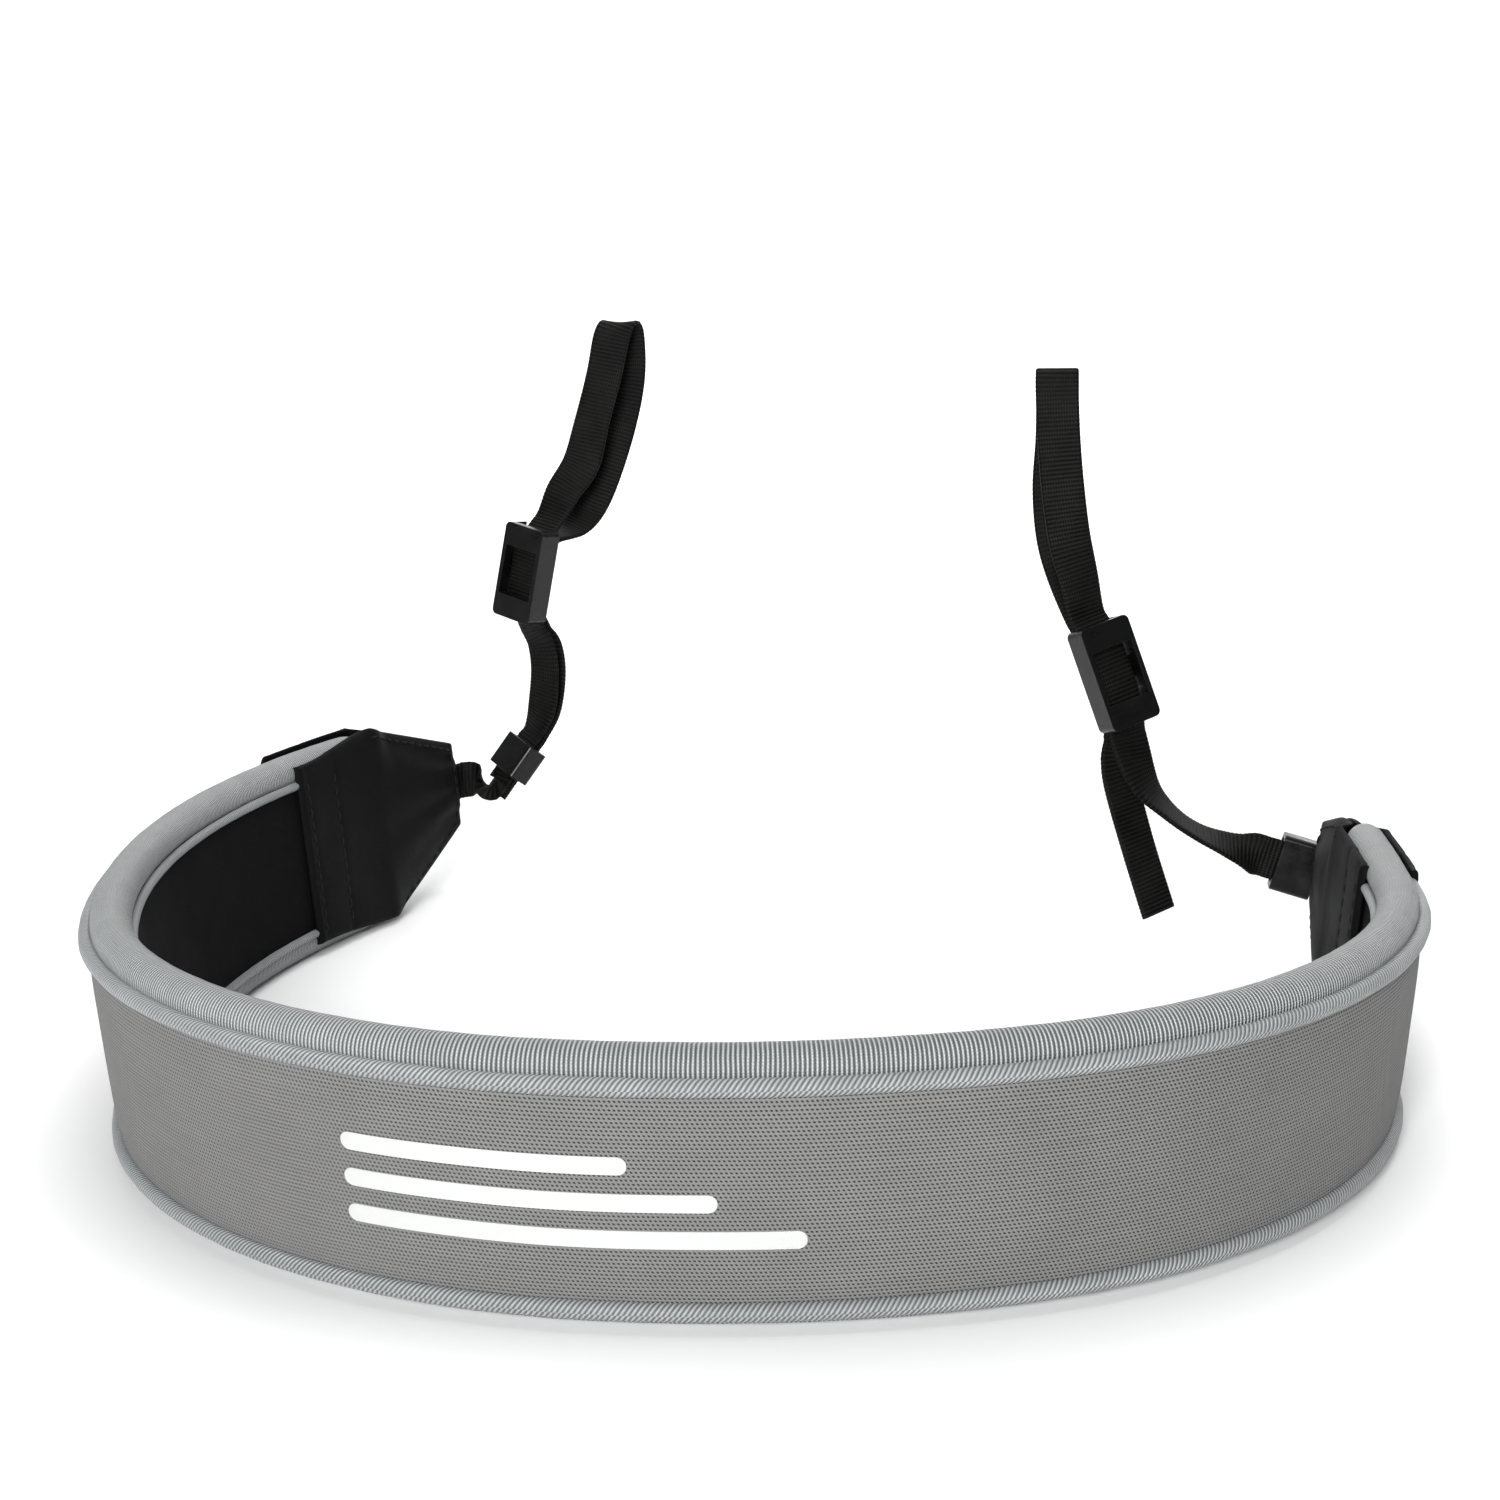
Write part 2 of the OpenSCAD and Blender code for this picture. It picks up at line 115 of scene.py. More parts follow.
def mesh(name, points, faces, uvs, material, smooth=True):
    """A mesh object from points in millimetres, with a UV pair in millimetres per face corner."""
    data = bpy.data.meshes.new(name)
    data.from_pydata((np.asarray(points) * MM).tolist(), [], faces)
    layer = data.uv_layers.new(name="UVMap")
    layer.data.foreach_set("uv", np.asarray(uvs, np.float32).ravel())
    data.polygons.foreach_set("use_smooth", [smooth] * len(data.polygons))
    data.materials.append(material)
    data.update()
    obj = bpy.data.objects.new(name, data)
    bpy.context.scene.collection.objects.link(obj)
    return obj


def tube(name, grid, along, around, material, smooth=True):
    """A closed tube from rings grid[i, j], with flat ends. along[i] and around[j] give the UVs."""
    n, k = grid.shape[:2]
    faces, uvs = [], []
    around = np.append(around, around[-1] + (around[-1] - around[-2]))
    for i in range(n - 1):
        for j in range(k):
            b = (j + 1) % k
            faces.append((i * k + j, i * k + b, (i + 1) * k + b, (i + 1) * k + j))
            uvs += [(along[i], around[j]), (along[i], around[j + 1]),
                    (along[i + 1], around[j + 1]), (along[i + 1], around[j])]
    for i, order in ((0, range(k - 1, -1, -1)), (n - 1, range(k))):
        faces.append(tuple(i * k + j for j in order))
        uvs += [(along[i] + grid[i, j, 0] * 0.1, around[j]) for j in order]
    obj = mesh(name, grid.reshape(-1, 3), faces, uvs, material, smooth)
    outward(obj)
    return obj


def outward(obj):
    """Turns every face of a closed mesh outwards."""
    bm = bmesh.new()
    bm.from_mesh(obj.data)
    bmesh.ops.recalc_face_normals(bm, faces=bm.faces)
    bm.to_mesh(obj.data)
    bm.free()


def put(obj, body, *nodes, slot):
    """obj rides on body and stands for CAD nodes."""
    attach(obj, body)
    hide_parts(*nodes)
    return obj


def ripple(s, waves):
    """Smooth irregular variation along s: the sum of a few waves [length, phase]."""
    return sum(np.sin(2 * math.pi * s / length + phase) for length, phase in waves) / len(waves)


def ease(x):
    """0 below 0, 1 above 1 and a smooth rise between."""
    x = np.clip(x, 0, 1)
    return x * x * (3 - 2 * x)


# ---------------------------------------------------------------- the band's own frame

def arc_length(side):
    return sum(r * math.radians(deg) for r, deg in ARCS[side])


BAND_END = {side: arc_length(side) for side in (LEFT, RIGHT)}


def path(s):
    """Point, outward direction and direction of growing s, all in plan, at s along the band."""
    side = LEFT if s < 0 else RIGHT
    left = abs(s)
    x = y = h = 0.0
    for r, deg in ARCS[side]:
        turn = min(left / r, math.radians(deg))
        x += r * (math.sin(h + turn) - math.sin(h))
        y += r * (math.cos(h) - math.cos(h + turn))
        h += turn
        left -= turn * r
        if left <= 1e-9:
            break
    x += left * math.cos(h)
    y += left * math.sin(h)
    return (side * x, y), (side * math.sin(h), -math.cos(h)), (math.cos(h), side * math.sin(h))


def on_band(s, u, z):
    """World points (mm) of places on the band. Each row of the grids s, u and z keeps one s."""
    s, u, z = np.broadcast_arrays(np.asarray(s, float), u, z)
    rows = np.array([np.ravel(path(value)[:2]) for value in s[:, 0]])
    flat = rows[:, None, :]
    up = z - LOW_Z
    out = u * math.cos(LEAN) + up * math.sin(LEAN)
    height = LOW_Z - u * math.sin(LEAN) + up * math.cos(LEAN)
    x, y = flat[..., 0] + out * flat[..., 2], flat[..., 1] + out * flat[..., 3]
    return np.stack([x, y, height], -1)


def stations(start, end, step):
    return np.linspace(start, end, max(2, int(round((end - start) / step)) + 1))


# ---------------------------------------------------------------- materials

COOL_SHEEN = (0.85, 0.93, 1.0)


class Paint:
    """Short ways to lay out a procedural material."""

    def __init__(self, name):
        self.material = bpy.data.materials.new(name)
        self.material.use_nodes = True
        self.tree = self.material.node_tree
        self.bsdf = self.tree.nodes["Principled BSDF"]
        self.uv = self.node("ShaderNodeTexCoord").outputs["UV"]
        self.object = self.node("ShaderNodeTexCoord").outputs["Object"]
        parts = self.node("ShaderNodeSeparateXYZ")
        self.link(self.uv, parts.inputs[0])
        self.along, self.across = parts.outputs[0], parts.outputs[1]

    def node(self, kind, **settings):
        made = self.tree.nodes.new(kind)
        for key, value in settings.items():
            setattr(made, key, value)
        return made

    def link(self, a, b):
        self.tree.links.new(a, b)

    def feed(self, value, socket):
        """Gives a socket a number, a colour or another node's output."""
        if isinstance(value, (int, float)):
            socket.default_value = value
        elif isinstance(value, tuple):
            socket.default_value = value + (1.0,)
        else:
            self.link(value, socket)

    def math(self, operation, a, b=0.0):
        """One maths node; SINE takes a alone."""
        made = self.node("ShaderNodeMath", operation=operation)
        self.feed(a, made.inputs[0])
        self.feed(b, made.inputs[1])
        return made.outputs[0]

    def wave(self, value, pitch):
        """0 to 1 and back once every pitch millimetres of value."""
        turned = self.math("MULTIPLY", value, 2 * math.pi / pitch)
        return self.math("ADD", self.math("MULTIPLY", self.math("SINE", turned), 0.5), 0.5)

    def noise(self, scale, detail, rough=0.6, stretch=None):
        """Noise in object space, or along the UVs where a stretch is given."""
        made = self.node("ShaderNodeTexNoise")
        made.inputs["Scale"].default_value = scale
        made.inputs["Detail"].default_value = detail
        made.inputs["Roughness"].default_value = rough
        source = self.object
        if stretch:
            moved = self.node("ShaderNodeMapping")
            moved.inputs["Scale"].default_value = stretch
            self.link(self.uv, moved.inputs["Vector"])
            source = moved.outputs[0]
        self.link(source, made.inputs["Vector"])
        return made.outputs["Fac"]

    def mix(self, fac, a, b):
        made = self.node("ShaderNodeMix", data_type="RGBA")
        self.feed(fac, made.inputs["Factor"])
        self.feed(a, made.inputs[6])
        self.feed(b, made.inputs[7])
        return made.outputs[2]

    def remap(self, value, low, high, to_low=0.0, to_high=1.0):
        made = self.node("ShaderNodeMapRange")
        self.feed(value, made.inputs["Value"])
        ends = {"From Min": low, "From Max": high, "To Min": to_low, "To Max": to_high}
        for key, number in ends.items():
            made.inputs[key].default_value = number
        return made.outputs[0]

    def bump(self, height, distance, below=None):
        """Bump of a height of 0 to 1, distance millimetres deep, on top of an earlier bump."""
        made = self.node("ShaderNodeBump")
        made.inputs["Strength"].default_value = 1.0
        made.inputs["Distance"].default_value = distance * MM
        self.link(height, made.inputs["Height"])
        if below:
            self.link(below, made.inputs["Normal"])
        return made.outputs[0]

    def done(self, colour, rough, normal=None, **more):
        """Feeds the shader and gives the material. more holds its other inputs, _ for a space."""
        self.feed(colour, self.bsdf.inputs["Base Color"])
        self.feed(rough, self.bsdf.inputs["Roughness"])
        if normal:
            self.link(normal, self.bsdf.inputs["Normal"])
        for key, value in more.items():
            self.feed(value, self.bsdf.inputs[key.replace("_", " ")])
        return self.material


def binding_material():
    """Silver-grey elastic binding: fine ribs run across it, each a row of tiny stitches, with
    painted shade in the grooves between them.
    """
    p = Paint("ribbed_binding")
    drift = p.math("MULTIPLY", p.noise(90.0, 2.0), 0.6)
    ribs = p.wave(p.math("ADD", p.along, drift), 0.76)
    threads = p.wave(p.across, 0.55)
    tone = p.noise(160.0, 3.0)
    light = p.mix(tone, (0.36, 0.373, 0.369), (0.54, 0.555, 0.549))
    # Painted shade: the grooves between the ribs are coloured near-black.
    colour = p.mix(p.remap(ribs, 0.1, 0.7), (0.045, 0.049, 0.051), light)
    colour = p.mix(p.remap(threads, 0.0, 1.0, 0.0, 0.3), colour, (0.16, 0.17, 0.17))
    normal = p.bump(ribs, 0.4)
    normal = p.bump(threads, 0.05, normal)
    return p.done(colour, 0.5, normal, Sheen_Weight=0.12, Sheen_Roughness=0.4,
                  Sheen_Tint=COOL_SHEEN, Specular_IOR_Level=0.4)


def piping_material(pitch, slant):
    """Corded piping: the binding's ribs slant round it like rope, with painted shade in the
    grooves.
    """
    p = Paint("corded_piping")
    phase = p.math("ADD", p.along, p.math("MULTIPLY", p.across, slant))
    ribs = p.wave(phase, pitch)
    tone = p.noise(140.0, 3.0)
    light = p.mix(tone, (0.25, 0.26, 0.257), (0.37, 0.382, 0.377))
    # Painted shade: the grooves between the slanting ribs are coloured dark.
    colour = p.mix(p.remap(ribs, 0.0, 0.7), (0.07, 0.075, 0.08), light)
    normal = p.bump(ribs, 0.22)
    return p.done(colour, 0.46, normal, Sheen_Weight=0.12, Sheen_Tint=COOL_SHEEN,
                  Specular_IOR_Level=0.4)


def knit_material():
    """Grey knit: fine rows of small holes painted near-black as shade, and threads that catch the
    light between them.
    """
    p = Paint("grey_knit")
    rows = p.wave(p.across, 0.72)
    turns = p.wave(p.math("ADD", p.along, p.math("MULTIPLY", p.across, 0.5)), 0.78)
    holes = p.math("MULTIPLY", rows, turns)
    tone = p.noise(70.0, 4.0)
    streak = p.noise(1.0, 3.0, 0.6, stretch=(0.03, 1.4, 1.0))
    light = p.mix(tone, (0.144, 0.144, 0.141), (0.19, 0.189, 0.185))
    light = p.mix(p.remap(streak, 0.35, 0.65, 0.0, 0.3), light, (0.115, 0.115, 0.113))
    # Painted shade: the holes are coloured near-black.
    colour = p.mix(p.remap(holes, 0.2, 0.8), light, (0.014, 0.014, 0.015))
    normal = p.bump(p.math("SUBTRACT", 1.0, holes), 0.16)
    return p.done(colour, 0.82, normal, Specular_IOR_Level=0.2, Sheen_Weight=0.08)


def grip_material():
    """Near-black soft lining with a fine nap."""
    p = Paint("soft_grip")
    nap = p.noise(2600.0, 2.0, 0.7)
    patchy = p.noise(55.0, 3.0)
    colour = p.mix(patchy, (0.003, 0.003, 0.0031), (0.006, 0.006, 0.0062))
    colour = p.mix(p.remap(nap, 0.55, 0.8, 0.0, 0.5), colour, (0.015, 0.015, 0.015))
    return p.done(colour, p.remap(patchy, 0.3, 0.7, 0.8, 0.95), p.bump(nap, 0.06),
                  Specular_IOR_Level=0.04)


def patch_material():
    """Black suede-like patch with a fine grain and rubbed lighter stretches."""
    p = Paint("black_patch")
    grain = p.noise(1900.0, 3.0, 0.7)
    rub = p.noise(45.0, 4.0, 0.55)
    colour = p.mix(rub, (0.0015, 0.0015, 0.0015), (0.004, 0.004, 0.004))
    colour = p.mix(p.remap(grain, 0.6, 0.85, 0.0, 0.4), colour, (0.012, 0.012, 0.012))
    normal = p.bump(rub, 0.35)
    return p.done(colour, p.remap(rub, 0.3, 0.7, 0.6, 0.78), p.bump(grain, 0.07, normal),
                  Specular_IOR_Level=0.07)


def webbing_material():
    """Black narrow webbing: cross ribs with painted shade in the grooves between them, and lighter
    warp lines along it in patches.
    """
    p = Paint("black_webbing")
    warp = p.wave(p.across, 0.62)
    weft = p.wave(p.along, WEB_RIB)
    line_patches = p.noise(120.0, 3.0)
    # Painted shade: the grooves between the cross ribs are coloured darkest.
    colour = p.mix(p.remap(weft, 0.2, 0.9), (0.0008, 0.0008, 0.0008), (0.007, 0.0068, 0.0064))
    # Lighter lines along the raised warp, in patches set by noise.
    lighter_warp_lines = p.math("MULTIPLY", p.remap(warp, 0.5, 1.0), p.remap(line_patches, 0.4, 0.7))
    colour = p.mix(lighter_warp_lines, colour, (0.014, 0.0136, 0.0126))
    normal = p.bump(warp, 0.05)
    normal = p.bump(weft, 0.08, normal)
    return p.done(colour, 0.55, normal, Specular_IOR_Level=0.07)


def hardware_material():
    """Satin black moulded plastic with a fine spark grain and a few scuffs."""
    p = Paint("satin_plastic")
    grain = p.noise(3200.0, 2.0, 0.6)
    scuff = p.noise(240.0, 6.0, 0.75)
    colour = p.mix(p.remap(scuff, 0.58, 0.75), (0.002, 0.002, 0.002), (0.009, 0.009, 0.009))
    return p.done(colour, p.remap(scuff, 0.35, 0.7, 0.26, 0.42), p.bump(grain, 0.02),
                  Specular_IOR_Level=0.28)


def print_material():
    """White screen print that the knit shows through a little."""
    p = Paint("white_print")
    weave = p.math("MULTIPLY", p.wave(p.math("ADD", p.along, p.across), 0.4),
                   p.wave(p.math("SUBTRACT", p.along, p.across), 0.4))
    speck = p.noise(900.0, 3.0)
    colour = p.mix(p.remap(weave, 0.5, 1.0, 0.0, 0.3), (0.5, 0.51, 0.5), (0.36, 0.37, 0.37))
    colour = p.mix(p.remap(speck, 0.62, 0.8, 0.0, 0.35), colour, (0.4, 0.4, 0.4))
    return p.done(colour, 0.55, p.bump(weave, 0.05))


def thread_material():
    """Black sewing thread, twisted, with painted shade in the twist's grooves."""
    p = Paint("black_thread")
    twist = p.wave(p.math("ADD", p.along, p.across), 0.5)
    fuzz = p.noise(1500.0, 2.0)
    # Painted shade: the grooves of the twist are coloured darker.
    colour = p.mix(twist, (0.004, 0.004, 0.004), (0.016, 0.0155, 0.014))
    return p.done(colour, p.remap(fuzz, 0.3, 0.7, 0.5, 0.7), p.bump(twist, 0.08),
                  Specular_IOR_Level=0.08)


def floor_material():
    """Plain pale sheet, very slightly mottled."""
    p = Paint("pale_floor")
    tone = p.noise(3.0, 2.0)
    return p.done(p.mix(tone, (0.90, 0.90, 0.90), (0.92, 0.92, 0.92)), 0.85)


BINDING = binding_material()
OUTER_PIPING = piping_material(0.9, -0.6)
INNER_PIPING = piping_material(0.8, 0.5)
KNIT = knit_material()
GRIP = grip_material()
PATCH = patch_material()
WEBBING = webbing_material()
HARDWARE = hardware_material()
PRINT = print_material()
THREAD = thread_material()


# ---------------------------------------------------------------- rolls and piping

def band_range(cut, step):
    """Stations along the band, stopping short of both its ends by cut."""
    return stations(-BAND_END[LEFT] + cut, BAND_END[RIGHT] - cut, step)


def round_sweep(name, s, u, z, r, sides, material, radius_change, waves):
    """A round cord along the band; its radius varies a little along it."""
    turn = 2 * math.pi * np.arange(sides) / sides
    swell = 1 + radius_change * ripple(s, waves)
    end = np.minimum(s - s[0], s[-1] - s)
    close = np.sqrt(np.clip(1 - (1 - np.clip(end / r, 0.0, 1)) ** 2, 0.02, 1))
    rr = (r * swell * close)[:, None]
    grid = on_band(s[:, None] + 0 * turn, u + rr * np.cos(turn), z + rr * np.sin(turn))
    return tube(name, grid, s, r * turn, material)


def with_ends(s, r):
    """Stations with extra ones where a rounded end closes."""
    extra = r * np.array([0.0, 0.04, 0.15, 0.35, 0.65])
    inner = s[(s > s[0] + r) & (s < s[-1] - r)]
    return np.concatenate([s[0] + extra, inner, (s[-1] - extra)[::-1]])


for name, z in (("top_roll", HIGH_Z), ("bottom_roll", LOW_Z)):
    s = with_ends(band_range(BAND_STOP, EDGE_STEP), ROLL_R)
    roll = round_sweep(name, s, ROLL_U, z, ROLL_R, ROLL_SIDES, BINDING, 0.012, ROLL_WAVES)
    put(roll, "band", name + "_binding", name + "_foam", slot="binding")

# (u, z, radius, material)
PIPES = {
    "top_outer_piping": (OUTER_PIPE_U, HIGH_Z - 1.5, OUTER_PIPE_R, OUTER_PIPING),
    "bottom_outer_piping": (OUTER_PIPE_U, LOW_Z + 0.3, OUTER_PIPE_R, OUTER_PIPING),
    "top_inner_piping": (-FACE_U, HIGH_Z - 3.2, INNER_PIPE_R, INNER_PIPING),
    "bottom_inner_piping": (-FACE_U, LOW_Z + 1.6, INNER_PIPE_R, INNER_PIPING),
}
for node, (u, z, r, material) in PIPES.items():
    s = with_ends(band_range(TAB_COVER - 1.5, EDGE_STEP), r)
    cord = round_sweep(node + "_cord", s, u, z, r, PIPE_SIDES, material, 0.03, PIPE_WAVES)
    put(cord, "band", node, slot="piping")


# ---------------------------------------------------------------- padded faces

FACE_LOW = LOW_Z + 0.4
FACE_HIGH = HIGH_Z - 1.6
FACE_TUCK = 0.6
FACE_ROWS = 30
BACK_ROWS = 6
PAD_STEP = 1.6


def clear_of_tabs(s):
    """1 on the open band and 0 under the tab patches."""
    return ease((np.minimum(s + BAND_END[LEFT], BAND_END[RIGHT] - s) - TAB_COVER) / 8.0)


def bend_share(s):
    """How strongly the band bends at s: 1 in the tight bends, near 0 in the wings."""
    left = ease((-s - 5) / 30) * ease((150 + s) / 30)
    right = ease((s - 75) / 25) * ease((215 - s) / 25)
    return np.maximum(left, right)


def face_u(s, z):
    """How far out the knit face is: tucked in at the piping, full in the middle."""
    e = (z - FACE_LOW) / (FACE_HIGH - FACE_LOW)
    crown = 1 - np.abs(2 * e - 1) ** 5
    full = 0.35 + 0.12 * ripple(s, [(83, 0.2), (37, 1.1)])
    return FACE_U - FACE_TUCK + (0.5 + full * clear_of_tabs(s)) * crown


def grip_u(s, z):
    """How far in the grip face is, with soft creases where the bends squeeze it."""
    e = (z - FACE_LOW) / (FACE_HIGH - FACE_LOW)
    crown = 1 - np.abs(2 * e - 1) ** 4
    crease = bend_share(s) * ripple(s + 3 * np.sin(z / 9), [(9.5, 0.5), (14.2, 2.2), (6.1, 3.9)])
    return -(FACE_U - FACE_TUCK) - (0.5 + (0.4 + 0.35 * crease) * clear_of_tabs(s)) * crown


def pad(name, face, back_u, material):
    """A closed pad along the band: face(s, z) gives its shown side and back_u its flat back."""
    s = band_range(BAND_STOP, PAD_STEP)
    z_face = np.linspace(FACE_LOW, FACE_HIGH, FACE_ROWS)
    z_back = np.linspace(FACE_HIGH - 1, FACE_LOW + 1, BACK_ROWS)
    z = np.concatenate([z_face, z_back])
    shown = np.stack([face(s, v) for v in z_face], 1)
    u = np.concatenate([shown, np.full((len(s), BACK_ROWS), back_u)], 1)
    grid = on_band(s[:, None] + 0 * z, u, z[None, :] + 0 * u)
    around = np.concatenate([z_face, FACE_HIGH + 3 + (FACE_HIGH - z_back)])
    return tube(name, grid, s, around, material)


knit_pad = pad("knit_pad", face_u, 0.2, KNIT)
put(knit_pad, "band", "outer_knit_face", "band_foam", slot="knit")
grip_pad = pad("grip_pad", grip_u, -0.2, GRIP)
put(grip_pad, "band", "inner_grip_face", slot="grip")


# ---------------------------------------------------------------- print

PRINT_T = 0.12
BAR_H = 3.2
BAR_STEPS = 40
BAR_END_STEPS = 9
BAR_ROWS = 7
# (start, end, low edge)
BARS = {
    "print_bar_low": (-36, 40, 16.0),
    "print_bar_middle": (-36, 26, 22.6),
    "print_bar_high": (-36, 12, 29.2),
}


def print_bar(name, start, end, low):
    """A printed bar with round ends, laid on the knit face."""
    r = BAR_H / 2
    ends = r * (1 - np.cos(np.linspace(0, math.pi / 2, BAR_END_STEPS)[1:]))
    between = np.linspace(start + r, end - r, BAR_STEPS)[1:-1]
    s = np.concatenate([start + ends, between, (end - ends)[::-1]])
    gap = np.minimum(s - start, end - s)
    half = np.sqrt(np.clip(r * r - np.clip(r - gap, 0, r) ** 2, 0.001, None))
    share = np.linspace(-1, 1, BAR_ROWS)
    z = low + r + half[:, None] * np.concatenate([share, share[::-1]])
    lift = np.concatenate([np.full(BAR_ROWS, PRINT_T), np.full(BAR_ROWS, -PRINT_T)])
    u = np.stack([face_u(s, z[:, j]) for j in range(z.shape[1])], 1) + lift
    grid = on_band(s[:, None] + 0 * z, u, z)
    around = np.concatenate([share * r, 2 * r + share * r])
    return tube(name, grid, s, around, PRINT, smooth=False)


for name, (start, end, low) in BARS.items():
    put(print_bar(name, start, end, low), "band", "front_print", slot="print")


# ---------------------------------------------------------------- tabs

def tab_edges(side, face, t):
    """Lowest and highest z of a patch at t past the band's end. Over the band the rolls show."""
    low_run = np.clip((t - TAB_FOOT) / (TAB_LEN - TAB_FOOT), 0, 1)
    high_run = np.clip(t / TAB_LEN, 0, 1)
    start, end = BARE_FADE[side]
    bare = 1 - ease((t - start) / (end - start))
    low_drop = TAB_END_Z - TAB_END_H / 2 - TAB_LOW_Z
    high_drop = TAB_END_Z + TAB_END_H / 2 - TAB_HIGH_Z
    low = TAB_LOW_Z + BARE[side, face] * LOW_BARE_SHARE * bare + low_drop * low_run
    high = TAB_HIGH_Z - BARE[side, face] * bare + high_drop * high_run
    return low, high


def tab_u(side, face, t, z):
    """How far a patch's inner side is from the band's middle; face is 1 outside and -1 inside.

    It lies over the roll or the knit face, closes on the sewn webbing at the narrow end, has
    folds that fan out from there, and dips along the stitch rows.
    """
    near = FACE_U if face > 0 else ROLL_R - ROLL_U
    beside = 1 - ease((np.abs(z - TAB_END_Z) - WEB_W / 2 - 0.5) / 2)
    closed = SEWN_U + (WEB_T / 2 + 0.05 - SEWN_U) * beside
    run = np.clip(t / TAB_LEN, 0, 1)
    low, high = tab_edges(side, face, t)
    rim = np.abs(2 * (z - low) / (high - low) - 1) ** 3.5
    pinch = rim * ease(t / 9)
    base = closed + (near - closed) * (1 - run * (0.65 + 0.35 * 2 * ease(run / 2))) * (1 - pinch)
    reach = np.clip((t + 4) / (TAB_LEN + 4), 0, 1)
    angle = np.arctan2(z - TAB_END_Z, TAB_LEN + 14 - t)
    fold = np.sin(angle * 15 + 0.7 * face) + 0.6 * np.sin(angle * 27 + 1.3)
    lift = reach * (1 - reach) * 1.1 + fold * 0.42 * reach * (1.08 - reach) * 2
    rows = sum(np.exp(-((t + row) / 0.9) ** 2) for row in STITCH_ROWS)
    flat_end = 1 - np.exp(-np.clip(TAB_LEN - t, 0, None) / 2.5)
    return base + (lift * (1 - rim) - 0.22 * rows) * flat_end


def edge_hug(z, t):
    """The patch's top and bottom follow the round rolls a little way."""
    cover = ease(-(t - 6) / 10)
    over = np.clip(z - (HIGH_Z - 1.0), 0, None)
    under = np.clip(LOW_Z + 1.0 - z, 0, None)
    return cover * (over ** 2 + under ** 2) * 0.055


def tab_patch(name, side, face):
    """A closed slab of fabric from the seam over the band's end to the narrow end."""
    whole = TAB_COVER + TAB_LEN
    edge = np.array([0, 0.15, 0.5, PATCH_RIM])
    lengths = np.concatenate([edge, np.linspace(2, whole - 2, 74), whole - edge[::-1]])
    t = lengths - TAB_COVER
    from_end = np.clip(np.minimum(lengths, lengths[-1] - lengths) / PATCH_RIM, 0, 1)
    thick = PATCH_T * np.sqrt(np.clip(1 - (1 - from_end) ** 2, 0.12, 1))
    share = np.linspace(0, 1, 40)
    rim = np.linspace(0, math.pi, 7)[1:-1]
    low, high = tab_edges(side, face, t)
    rows = []
    for k in range(len(t)):
        r = thick[k] / 2
        z_side = low[k] + r + (high[k] - low[k] - 2 * r) * share
        outer = np.stack([z_side, np.full_like(z_side, thick[k])], 1)
        top = np.stack([high[k] - r + r * np.sin(rim), r + r * np.cos(rim)], 1)
        inner = np.stack([z_side[::-1], np.zeros_like(z_side)], 1)
        foot = np.stack([low[k] + r - r * np.sin(rim), r - r * np.cos(rim)], 1)
        rows.append(np.concatenate([outer, top, inner, foot]))
    rows = np.array(rows)
    z, above = rows[..., 0], rows[..., 1]
    tt = t[:, None] + 0 * z
    u = face * (tab_u(side, face, tt, z) + above - edge_hug(z, tt))
    s = side * (BAND_END[side] + tt)
    grid = on_band(s, u, z)
    around = np.concatenate([[0], np.cumsum(np.hypot(*(np.diff(rows[20], axis=0).T)))])
    return tube(name, grid, t, around, PATCH)


def patch_top(side, face, t, z):
    """World point on a patch's outer surface."""
    t, z = np.asarray(t, float), np.asarray(z, float)
    u = face * (tab_u(side, face, t, z) + PATCH_T - edge_hug(z, t))
    s = side * (BAND_END[side] + t)
    return on_band(s[:, None], u[:, None], z[:, None])[:, 0]


def stitch_line(side, face, t, z):
    """Stitches along a line on a patch: (start, end, outward) for each."""
    length = np.concatenate([[0], np.cumsum(np.hypot(np.diff(t), np.diff(z)))])
    count = int(length[-1] // STITCH_PITCH)
    found = []
    for k in range(count):
        marks = np.array([k + 0.14, k + 0.86]) * STITCH_PITCH
        tt, zz = np.interp(marks, length, t), np.interp(marks, length, z)
        a, b = patch_top(side, face, tt, zz)
        out = np.append(np.array(path(side * (BAND_END[side] + tt[0]))[1]) * face, 0.0)
        found.append((a, b, out))
    return found


def thread_mesh(name, stitches):
    """All stitches of one tab as small humped threads."""
    r, sides, steps = 0.3, 8, 7
    hump, sunk = 0.18, 0.02
    step_uv, side_uv = 0.4, 0.24
    points, faces, uvs = [], [], []
    for a, b, out in stitches:
        along = (b - a) / np.linalg.norm(b - a)
        side_way = np.cross(along, out)
        first = len(points)
        for i in range(steps):
            x = i / (steps - 1)
            thick = r * math.sqrt(max(1 - (2 * x - 1) ** 4, 0.03))
            centre = a + (b - a) * x + out * (hump * math.sin(math.pi * x) - sunk)
            for k in range(sides):
                angle = 2 * math.pi * k / sides
                spoke = math.cos(angle) * side_way + math.sin(angle) * out * 0.8
                points.append(centre + thick * spoke)
        for i in range(steps - 1):
            for k in range(sides):
                n = (k + 1) % sides
                faces.append((first + i * sides + k, first + i * sides + n,
                              first + (i + 1) * sides + n, first + (i + 1) * sides + k))
                near, far = i * step_uv, i * step_uv + step_uv
                low, high = k * side_uv, k * side_uv + side_uv
                uvs += [(near, low), (near, high), (far, high), (far, low)]
        for i, order in ((0, range(sides)), (steps - 1, range(sides - 1, -1, -1))):
            faces.append(tuple(first + i * sides + k for k in order))
            uvs += [(0.0, 0.0)] * sides
    obj = mesh(name, points, faces, uvs, THREAD)
    outward(obj)
    return obj


